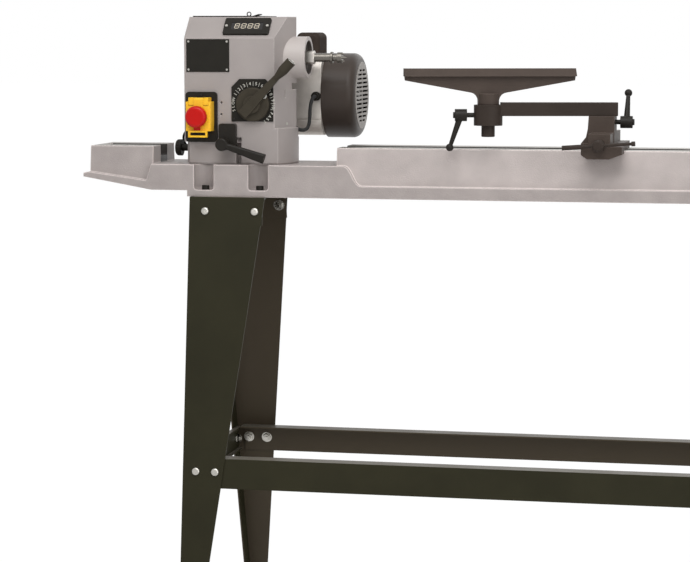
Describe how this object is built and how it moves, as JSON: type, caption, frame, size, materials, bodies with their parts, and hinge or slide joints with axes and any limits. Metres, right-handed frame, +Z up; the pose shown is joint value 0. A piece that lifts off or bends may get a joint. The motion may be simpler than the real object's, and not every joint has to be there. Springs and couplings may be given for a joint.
{
  "type": "swivel head wood lathe",
  "caption": "Floor-standing wood lathe: swivelling variable-speed headstock, cast bed on a folded steel stand, swing-arm tool rest and tailstock with quill.",
  "frame": {"origin": "On the floor, in the middle of the bed's length and of the stand's depth.", "axes": "+X along the spindle towards the tailstock, -Y towards the turner, +Z up."},
  "size_m": [1.513, 0.5136, 1.1162],
  "materials": {
    "stand_paint": "satin",
    "bed_paint": "textured paint",
    "head_paint": "smooth paint",
    "dark_paint": "satin paint",
    "steel": "machined",
    "zinc": "zinc plated",
    "black_steel": "black oxide",
    "motor_alloy": "cast",
    "cover_paint": "satin",
    "black_plastic": "matt",
    "black_gloss": "gloss",
    "yellow_plastic": "gloss",
    "red_plastic": "gloss",
    "green_plastic": "gloss",
    "black_rubber": "matt"
  },
  "bodies": {
    "frame": {"leg_front_left": "stand_paint", "leg_rear_left": "stand_paint", "leg_front_right": "stand_paint", "leg_rear_right": "stand_paint", "long_rails": "stand_paint", "end_rails": "stand_paint", "top_plates": "stand_paint", "foot_pads": "black_rubber", "stand_bolts": "zinc", "frame_nuts": "zinc", "bed": "bed_paint", "bed_bolts": "black_steel", "pivot_post": "steel"},
    "head": {"headstock": "head_paint", "ball_bearings": "steel", "motor_body": "motor_alloy", "fan_cover": "cover_paint", "capacitor_box": "cover_paint", "cable_gland": "black_plastic", "motor_lead": "black_rubber", "dial_plate": "black_plastic", "display_bezel": "black_plastic", "display_window": "black_gloss", "nameplate": "black_plastic", "panel_screws": "zinc", "switch_plate": "black_plastic", "switch_box": "yellow_plastic", "lock_block": "black_steel", "drive_belt": "black_rubber"},
    "lid": {"belt_lid": "black_steel"},
    "spindle_group": {"spindle": "steel", "spur_centre": "steel", "spindle_pulley": "motor_alloy"},
    "spindle_slider": {"spindle_sliding_pulley": "motor_alloy"},
    "rotor_group": {"motor_rotor": "steel", "motor_pulley": "motor_alloy"},
    "rotor_slider": {"motor_sliding_pulley": "motor_alloy"},
    "fork": {"shift_fork": "steel"},
    "speed_handle": {"speed_lever": "black_plastic"},
    "flap": {"stop_flap": "yellow_plastic", "stop_mushroom": "red_plastic"},
    "start_key": {"start_button": "green_plastic"},
    "stop_key": {"stop_button": "red_plastic"},
    "lock_handle": {"lock_lever": "black_steel"},
    "plunger": {"index_plunger": "black_plastic"},
    "rest_foot": {"rest_base": "dark_paint"},
    "rest_cam_shaft": {"rest_cam": "dark_paint"},
    "rest_clamp_bolt": {"rest_clamp": "steel"},
    "arm": {"swing_arm": "dark_paint"},
    "arm_lock_handle": {"arm_lock": "black_steel"},
    "post": {"rest_post": "dark_paint"},
    "t_rest": {"tool_rest": "dark_paint"},
    "rest_lock_handle": {"rest_lock": "black_steel"},
    "tail_body": {"tailstock": "head_paint"},
    "quill_tube": {"quill": "steel"},
    "centre_point": {"live_centre": "steel"},
    "wheel": {"handwheel": "dark_paint"},
    "quill_lock_handle": {"quill_lock": "black_steel"},
    "tail_cam_shaft": {"tail_cam": "dark_paint"},
    "tail_clamp_bolt": {"tail_clamp": "steel"}
  },
  "joints": [
    {"name": "head_swivel", "type": "hinge", "parent": "frame", "child": "head", "pos_m": [-0.4925, 0, 0.885], "axis": [0, 0, -1], "range_deg": [0, 180]},
    {"name": "lid_hinge", "type": "hinge", "parent": "head", "child": "lid", "pos_m": [-0.5763, 0, 1.1044], "axis": [0, -1, 0], "range_deg": [0, 100]},
    {"name": "motor_spin", "type": "hinge", "parent": "head", "child": "rotor_group", "pos_m": [-0.4925, 0.13, 0.969], "axis": [1, 0, 0], "continuous": true},
    {"name": "spindle_spin", "type": "hinge", "parent": "head", "child": "spindle_group", "pos_m": [-0.4925, 0, 1.0374], "axis": [1, 0, 0], "continuous": true},
    {"name": "speed_turn", "type": "hinge", "parent": "head", "child": "speed_handle", "pos_m": [-0.4571, 0, 0.9578], "axis": [0, -1, 0], "range_deg": [-77, 107], "deforming": ["drive_belt"]},
    {"name": "spindle_pulley_shift", "type": "slide", "parent": "spindle_group", "child": "spindle_slider", "axis": [-1, 0, 0], "range_m": [-0.0082, 0.0119]},
    {"name": "motor_pulley_shift", "type": "slide", "parent": "rotor_group", "child": "rotor_slider", "axis": [-1, 0, 0], "range_m": [-0.0082, 0.0119]},
    {"name": "fork_shift", "type": "slide", "parent": "head", "child": "fork", "axis": [-1, 0, 0], "range_m": [-0.0082, 0.0119]},
    {"name": "flap_hinge", "type": "hinge", "parent": "head", "child": "flap", "pos_m": [-0.4925, -0.08425, 0.9665], "axis": [-1, 0, 0], "range_deg": [0, 110]},
    {"name": "start_press", "type": "slide", "parent": "head", "child": "start_key", "axis": [0, 1, 0], "range_m": [0, 0.004], "stiffness_N_per_m": 300},
    {"name": "stop_press", "type": "slide", "parent": "head", "child": "stop_key", "axis": [0, 1, 0], "range_m": [0, 0.004], "stiffness_N_per_m": 300},
    {"name": "lock_turn", "type": "hinge", "parent": "head", "child": "lock_handle", "pos_m": [-0.5065, 0, 0.89], "axis": [0, -1, 0], "range_deg": [-44, 60]},
    {"name": "index_pull", "type": "slide", "parent": "head", "child": "plunger", "axis": [-1, 0, 0], "range_m": [-0.0045, 0.008], "stiffness_N_per_m": 400},
    {"name": "rest_slide", "type": "slide", "parent": "frame", "child": "rest_foot", "axis": [1, 0, 0], "range_m": [-0.1, 0.19]},
    {"name": "rest_cam_turn", "type": "hinge", "parent": "rest_foot", "child": "rest_cam_shaft", "pos_m": [0.1405, 0, 0.896], "axis": [0, -1, 0], "range_deg": [0, 60]},
    {"name": "rest_clamp_lift", "type": "slide", "parent": "rest_foot", "child": "rest_clamp_bolt", "axis": [0, 0, -1], "range_m": [0, 0.0015]},
    {"name": "arm_swing", "type": "hinge", "parent": "rest_foot", "child": "arm", "pos_m": [0.1385, -0.035, 0.942], "axis": [0, 0, 1], "range_deg": [0, 70]},
    {"name": "arm_lock_turn", "type": "hinge", "parent": "rest_foot", "child": "arm_lock_handle", "pos_m": [0.1575, -0.035, 0.932], "axis": [1, 0, 0], "range_deg": [0, 60]},
    {"name": "post_lift", "type": "slide", "parent": "arm", "child": "post", "axis": [0, 0, 1], "range_m": [0, 0.04]},
    {"name": "t_rest_turn", "type": "hinge", "parent": "post", "child": "t_rest", "pos_m": [-0.0493, -0.07492, 0.985], "axis": [0, 0, 1], "range_deg": [-45, 60]},
    {"name": "rest_lock_turn", "type": "hinge", "parent": "arm", "child": "rest_lock_handle", "pos_m": [-0.0493, -0.07492, 0.9433], "axis": [-0.9781, -0.2079, 0], "range_deg": [0, 60]},
    {"name": "tail_slide", "type": "slide", "parent": "frame", "child": "tail_body", "axis": [1, 0, 0], "range_m": [-0.18, 0.262]},
    {"name": "wheel_turn", "type": "hinge", "parent": "tail_body", "child": "wheel", "pos_m": [0.5025, 0, 1.0374], "axis": [1, 0, 0], "range_deg": [0, 4320]},
    {"name": "quill_feed", "type": "slide", "parent": "tail_body", "child": "quill_tube", "axis": [-1, 0, 0], "range_m": [0, 0.0602]},
    {"name": "centre_spin", "type": "hinge", "parent": "quill_tube", "child": "centre_point", "pos_m": [0.3775, 0, 1.0374], "axis": [1, 0, 0], "continuous": true},
    {"name": "quill_lock_turn", "type": "hinge", "parent": "tail_body", "child": "quill_lock_handle", "pos_m": [0.4175, 0, 1.065], "axis": [0, 0, 1], "range_deg": [0, 60]},
    {"name": "tail_cam_turn", "type": "hinge", "parent": "tail_body", "child": "tail_cam_shaft", "pos_m": [0.4375, 0, 0.896], "axis": [0, -1, 0], "range_deg": [0, 60]},
    {"name": "tail_clamp_lift", "type": "slide", "parent": "tail_body", "child": "tail_clamp_bolt", "axis": [0, 0, -1], "range_m": [0, 0.0015]}
  ],
  "couplings": [
    {"joint": "spindle_spin", "follows": "motor_spin", "ratio": 1},
    {"joint": "spindle_pulley_shift", "follows": "speed_turn", "m_per_rad": 0.006},
    {"joint": "motor_pulley_shift", "follows": "speed_turn", "m_per_rad": 0.006},
    {"joint": "fork_shift", "follows": "speed_turn", "m_per_rad": 0.006},
    {"joint": "rest_clamp_lift", "follows": "rest_cam_turn", "m_per_rad": 0.00143},
    {"joint": "tail_clamp_lift", "follows": "tail_cam_turn", "m_per_rad": 0.00143},
    {"joint": "quill_feed", "follows": "wheel_turn", "m_per_rad": 0.0007958}
  ]
}
